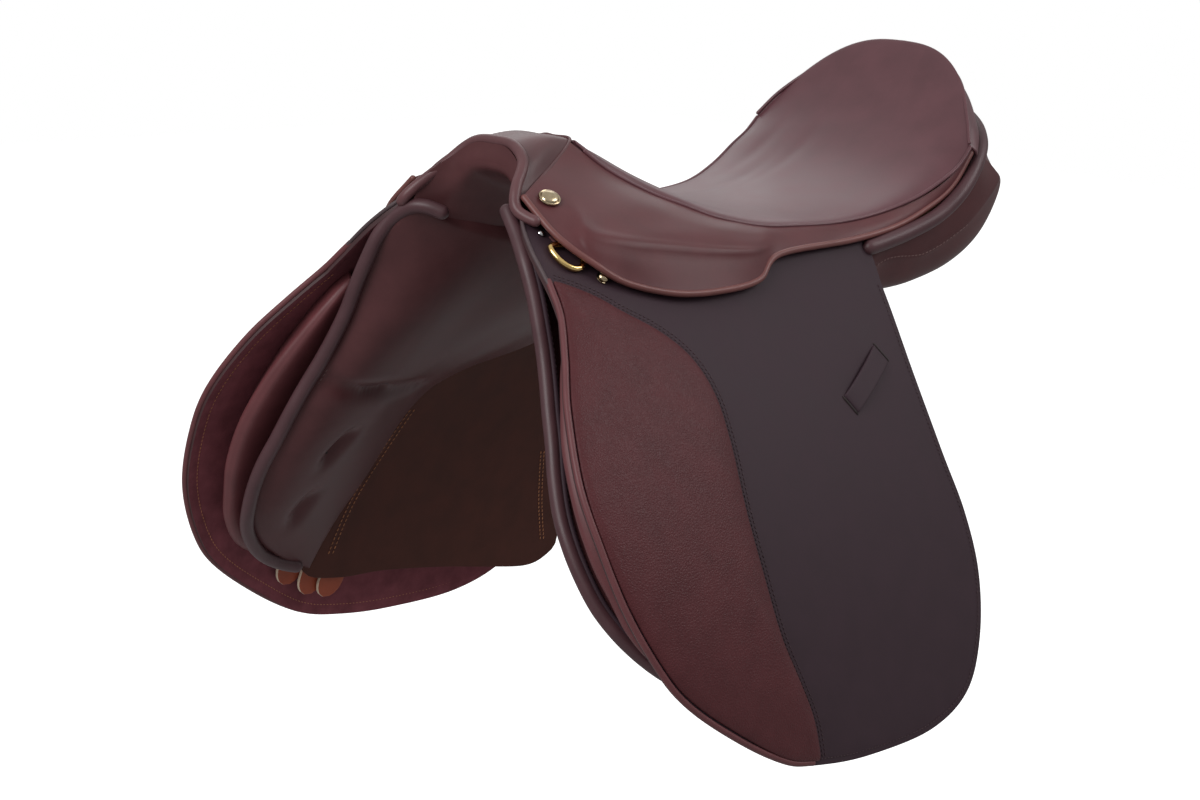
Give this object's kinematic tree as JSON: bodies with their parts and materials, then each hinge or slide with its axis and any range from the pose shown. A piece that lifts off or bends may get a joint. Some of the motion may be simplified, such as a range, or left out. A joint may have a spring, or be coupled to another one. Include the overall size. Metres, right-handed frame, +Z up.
{
  "type": "cross-country saddle",
  "caption": "English riding saddle for jumping across country, with forward cut flaps, padded knee panels, padded underside and straps for a girth.",
  "frame": {"origin": "middle of the underside of the channel's roof, below the deepest part of the seat", "axes": "+X to the near (left) side, +Y to the cantle (rear), +Z up"},
  "size_m": [0.5414, 0.5817, 0.4823],
  "materials": {
    "seat_leather": "smooth, soft sheen, reddish brown",
    "skirt_leather": "smooth, fine grain, reddish brown",
    "pommel_leather": "smooth, dark brown",
    "grained_leather": "pebble grain, dark red brown",
    "block_leather": "smooth, matt",
    "flap_leather": "matt, very dark brown",
    "panel_leather": "soft, semi gloss, dark brown",
    "roll_leather": "soft, semi gloss, dark brown",
    "sweat_leather": "matt, brown",
    "billet_leather": "tan bridle leather, pale cut edges",
    "linen_web": "woven",
    "foam": "soft",
    "laminated_beech": "varnished",
    "spring_steel": "oiled",
    "forged_steel": "polished",
    "polished_brass": "polished"
  },
  "bodies": {
    "saddle": {"arch_piping": "pommel_leather", "bar_rivet_front_left": "forged_steel", "bar_rivet_front_right": "forged_steel", "bar_rivet_rear_left": "forged_steel", "bar_rivet_rear_right": "forged_steel", "billet_web_left": "linen_web", "billet_web_right": "linen_web", "cantle_facing": "seat_leather", "channel_lining": "panel_leather", "dee_chape_left": "pommel_leather", "dee_chape_right": "pommel_leather", "flap_top_left": "flap_leather", "flap_top_right": "flap_leather", "head_plate": "spring_steel", "panel_pad_left": "panel_leather", "panel_pad_right": "panel_leather", "panel_roll_left": "roll_leather", "panel_roll_right": "roll_leather", "point_pocket_left": "panel_leather", "point_pocket_right": "panel_leather", "pommel_cover": "pommel_leather", "rear_roll": "roll_leather", "saddle_nail_left": "polished_brass", "saddle_nail_right": "polished_brass", "seat_cover": "seat_leather", "seat_foam": "foam", "skirt_left": "skirt_leather", "skirt_right": "skirt_leather", "stirrup_bar_left": "forged_steel", "stirrup_bar_right": "forged_steel", "stud_left": "polished_brass", "stud_right": "polished_brass", "sweat_flap_left": "sweat_leather", "sweat_flap_right": "sweat_leather", "tree": "laminated_beech", "tree_point_left": "laminated_beech", "tree_point_right": "laminated_beech", "tree_spring_left": "spring_steel", "tree_spring_right": "spring_steel", "web_front": "linen_web"},
    "flap_left_body": {"flap_left": "flap_leather", "knee_pad_left": "grained_leather", "knee_block_left": "block_leather", "keeper_left": "flap_leather"},
    "skirt_lobe_left_body": {"skirt_lobe_left": "skirt_leather"},
    "bar_catch_left_body": {"bar_catch_left": "forged_steel"},
    "dee_left_body": {"dee_left": "polished_brass"},
    "billet_1_left_body": {"billet_1_left": "billet_leather"},
    "billet_2_left_body": {"billet_2_left": "billet_leather"},
    "billet_3_left_body": {"billet_3_left": "billet_leather"},
    "flap_right_body": {"flap_right": "flap_leather", "knee_pad_right": "grained_leather", "knee_block_right": "block_leather", "keeper_right": "flap_leather"},
    "skirt_lobe_right_body": {"skirt_lobe_right": "skirt_leather"},
    "bar_catch_right_body": {"bar_catch_right": "forged_steel"},
    "dee_right_body": {"dee_right": "polished_brass"},
    "billet_1_right_body": {"billet_1_right": "billet_leather"},
    "billet_2_right_body": {"billet_2_right": "billet_leather"},
    "billet_3_right_body": {"billet_3_right": "billet_leather"}
  },
  "joints": [
    {"name": "flap_left_lift", "type": "hinge", "parent": "saddle", "child": "flap_left_body", "pos_m": [0.13368, -0.085, 0.00164], "axis": [-0.0095, -0.9999, 0.0102], "range_deg": [0, 90]},
    {"name": "skirt_lobe_left_lift", "type": "hinge", "parent": "saddle", "child": "skirt_lobe_left_body", "pos_m": [0.11923, -0.10946, 0.0357], "axis": [-0.0518, -0.9941, 0.0949], "range_deg": [0, 60]},
    {"name": "bar_catch_left_turn", "type": "hinge", "parent": "saddle", "child": "bar_catch_left_body", "pos_m": [0.10812, -0.089, 0.0315], "axis": [-0.7403, 0, -0.6723], "range_deg": [0, 55]},
    {"name": "dee_left_swing", "type": "hinge", "parent": "saddle", "child": "dee_left_body", "pos_m": [0.0883, -0.222, 0.0397], "axis": [0.6674, 0, 0.7447], "range_deg": [-6, 6]},
    {"name": "billet_1_left_swing", "type": "hinge", "parent": "saddle", "child": "billet_1_left_body", "pos_m": [0.122, -0.15, -0.00889], "axis": [0.8914, 0, 0.4532], "range_deg": [0, 2]},
    {"name": "billet_2_left_swing", "type": "hinge", "parent": "saddle", "child": "billet_2_left_body", "pos_m": [0.11916, -0.116, -0.01175], "axis": [0.8941, 0, 0.4478], "range_deg": [0, 2]},
    {"name": "billet_3_left_swing", "type": "hinge", "parent": "saddle", "child": "billet_3_left_body", "pos_m": [0.11599, -0.082, -0.0145], "axis": [0.8968, 0, 0.4424], "range_deg": [0, 2]},
    {"name": "flap_right_lift", "type": "hinge", "parent": "saddle", "child": "flap_right_body", "pos_m": [-0.13368, -0.085, 0.00164], "axis": [-0.0095, 0.9999, -0.0102], "range_deg": [0, 90]},
    {"name": "skirt_lobe_right_lift", "type": "hinge", "parent": "saddle", "child": "skirt_lobe_right_body", "pos_m": [-0.11923, -0.10946, 0.0357], "axis": [-0.0518, 0.9941, -0.0949], "range_deg": [0, 60]},
    {"name": "bar_catch_right_turn", "type": "hinge", "parent": "saddle", "child": "bar_catch_right_body", "pos_m": [-0.10812, -0.089, 0.0315], "axis": [-0.7403, 0, 0.6723], "range_deg": [0, 55]},
    {"name": "dee_right_swing", "type": "hinge", "parent": "saddle", "child": "dee_right_body", "pos_m": [-0.0883, -0.222, 0.0397], "axis": [-0.6674, 0, 0.7447], "range_deg": [-6, 6]},
    {"name": "billet_1_right_swing", "type": "hinge", "parent": "saddle", "child": "billet_1_right_body", "pos_m": [-0.122, -0.15, -0.00889], "axis": [-0.8914, 0, 0.4532], "range_deg": [-2, 0]},
    {"name": "billet_2_right_swing", "type": "hinge", "parent": "saddle", "child": "billet_2_right_body", "pos_m": [-0.11916, -0.116, -0.01175], "axis": [-0.8941, 0, 0.4478], "range_deg": [-2, 0]},
    {"name": "billet_3_right_swing", "type": "hinge", "parent": "saddle", "child": "billet_3_right_body", "pos_m": [-0.11599, -0.082, -0.0145], "axis": [-0.8968, 0, 0.4424], "range_deg": [-2, 0]}
  ]
}
